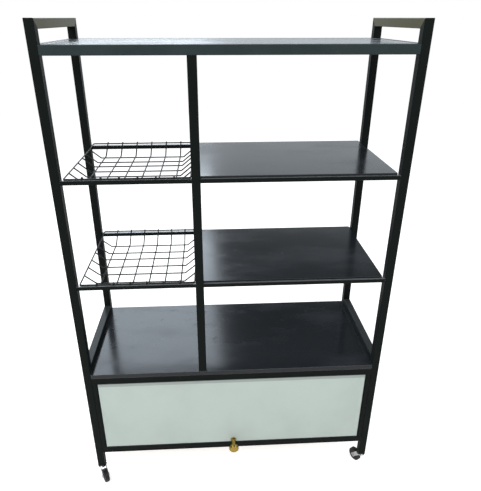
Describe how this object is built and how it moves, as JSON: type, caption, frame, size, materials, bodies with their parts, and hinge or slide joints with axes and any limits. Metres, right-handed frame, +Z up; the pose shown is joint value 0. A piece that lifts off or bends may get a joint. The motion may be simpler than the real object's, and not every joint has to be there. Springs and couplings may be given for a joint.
{
  "type": "microwave stand with drawer",
  "caption": "Wheeled square-tube kitchen rack with side handles, sheet shelves, wire baskets, a deep bottom drawer and a round brass knob.",
  "frame": {"origin": "floor level under the middle of the tube frame", "axes": "+X to the right, +Y to the back, +Z up; the drawer opens towards -Y"},
  "size_m": [1.005, 0.4795, 1.57],
  "materials": {
    "frame_black": "satin black powder coat",
    "board_black": "gloss black laminated board",
    "shelf_black": "gloss black enamelled sheet",
    "basket_wire": "semi-gloss black coated wire",
    "drawer_white": "satin pale white laminate",
    "drawer_box": "birch plywood",
    "slide_zinc": "bright zinc plate",
    "knob_brass": "polished brass",
    "screw_steel": "zinc plated",
    "plug_black": "matte moulded",
    "caster_chrome": "bright zinc-chrome plate",
    "caster_wheel": "hard black tyre"
  },
  "bodies": {
    "frame": {"front_left_post": "frame_black", "front_right_post": "frame_black", "rear_left_post": "frame_black", "rear_right_post": "frame_black", "left_handle_bar": "frame_black", "right_handle_bar": "frame_black", "top_front_rail": "frame_black", "top_rear_rail": "frame_black", "top_left_rail": "frame_black", "top_right_rail": "frame_black", "cabinet_front_rail": "frame_black", "cabinet_rear_rail": "frame_black", "cabinet_left_rail": "frame_black", "cabinet_right_rail": "frame_black", "base_front_rail": "frame_black", "base_rear_rail": "frame_black", "base_left_rail": "frame_black", "base_right_rail": "frame_black", "guard_left_rail": "frame_black", "guard_right_rail": "frame_black", "middle_post": "frame_black", "front_left_stile": "frame_black", "front_right_stile": "frame_black", "rear_left_stile": "frame_black", "rear_right_stile": "frame_black", "left_front_shelf_rails": "frame_black", "right_front_shelf_rails": "frame_black", "rear_shelf_rails": "frame_black", "top_panel": "board_black", "cabinet_board": "board_black", "lower_shelf": "shelf_black", "upper_shelf": "shelf_black", "lower_basket": "basket_wire", "upper_basket": "basket_wire", "slide_outer_members": "slide_zinc", "post_end_plugs": "plug_black", "caster_stems": "caster_chrome"},
    "drawer": {"drawer_front_panel": "drawer_white", "drawer_inner_front": "drawer_box", "drawer_back": "drawer_box", "drawer_left_side": "drawer_box", "drawer_right_side": "drawer_box", "drawer_bottom": "drawer_box", "slide_inner_members": "slide_zinc", "drawer_knob": "knob_brass", "knob_screw": "screw_steel"},
    "slide_middles": {"slide_middle_members": "slide_zinc"},
    "front_left_swivel": {"front_left_caster_fork": "caster_chrome", "front_left_caster_axle": "caster_chrome"},
    "front_left_wheel": {"front_left_caster_wheel": "caster_wheel"},
    "front_right_swivel": {"front_right_caster_fork": "caster_chrome", "front_right_caster_axle": "caster_chrome"},
    "front_right_wheel": {"front_right_caster_wheel": "caster_wheel"},
    "rear_left_swivel": {"rear_left_caster_fork": "caster_chrome", "rear_left_caster_axle": "caster_chrome"},
    "rear_left_wheel": {"rear_left_caster_wheel": "caster_wheel"},
    "rear_right_swivel": {"rear_right_caster_fork": "caster_chrome", "rear_right_caster_axle": "caster_chrome"},
    "rear_right_wheel": {"rear_right_caster_wheel": "caster_wheel"}
  },
  "joints": [
    {"name": "drawer_slide", "type": "slide", "parent": "frame", "child": "drawer", "axis": [0, -1, 0], "range_m": [0, 0.3]},
    {"name": "slide_middle_travel", "type": "slide", "parent": "frame", "child": "slide_middles", "axis": [0, -1, 0], "range_m": [0, 0.15]},
    {"name": "front_left_caster_swivel", "type": "hinge", "parent": "frame", "child": "front_left_swivel", "pos_m": [-0.4875, -0.1875, 0.0557], "axis": [0, 0, 1], "continuous": true},
    {"name": "front_left_wheel_spin", "type": "hinge", "parent": "front_left_swivel", "child": "front_left_wheel", "pos_m": [-0.4745, -0.21002, 0.024], "axis": [0.866, 0.5, 0], "continuous": true},
    {"name": "front_right_caster_swivel", "type": "hinge", "parent": "frame", "child": "front_right_swivel", "pos_m": [0.4875, -0.1875, 0.0557], "axis": [0, 0, 1], "continuous": true},
    {"name": "front_right_wheel_spin", "type": "hinge", "parent": "front_right_swivel", "child": "front_right_wheel", "pos_m": [0.47529, -0.16454, 0.024], "axis": [-0.8829, -0.4695, 0], "continuous": true},
    {"name": "rear_left_caster_swivel", "type": "hinge", "parent": "frame", "child": "rear_left_swivel", "pos_m": [-0.4875, 0.1875, 0.0557], "axis": [0, 0, 1], "continuous": true},
    {"name": "rear_left_wheel_spin", "type": "hinge", "parent": "rear_left_swivel", "child": "rear_left_wheel", "pos_m": [-0.47861, 0.21193, 0.024], "axis": [-0.9397, 0.342, 0], "continuous": true},
    {"name": "rear_right_caster_swivel", "type": "hinge", "parent": "frame", "child": "rear_right_swivel", "pos_m": [0.4875, 0.1875, 0.0557], "axis": [0, 0, 1], "continuous": true},
    {"name": "rear_right_wheel_spin", "type": "hinge", "parent": "rear_right_swivel", "child": "rear_right_wheel", "pos_m": [0.47861, 0.21193, 0.024], "axis": [-0.9397, -0.342, 0], "continuous": true}
  ],
  "couplings": [
    {"joint": "slide_middle_travel", "follows": "drawer_slide", "ratio": 0.5}
  ]
}
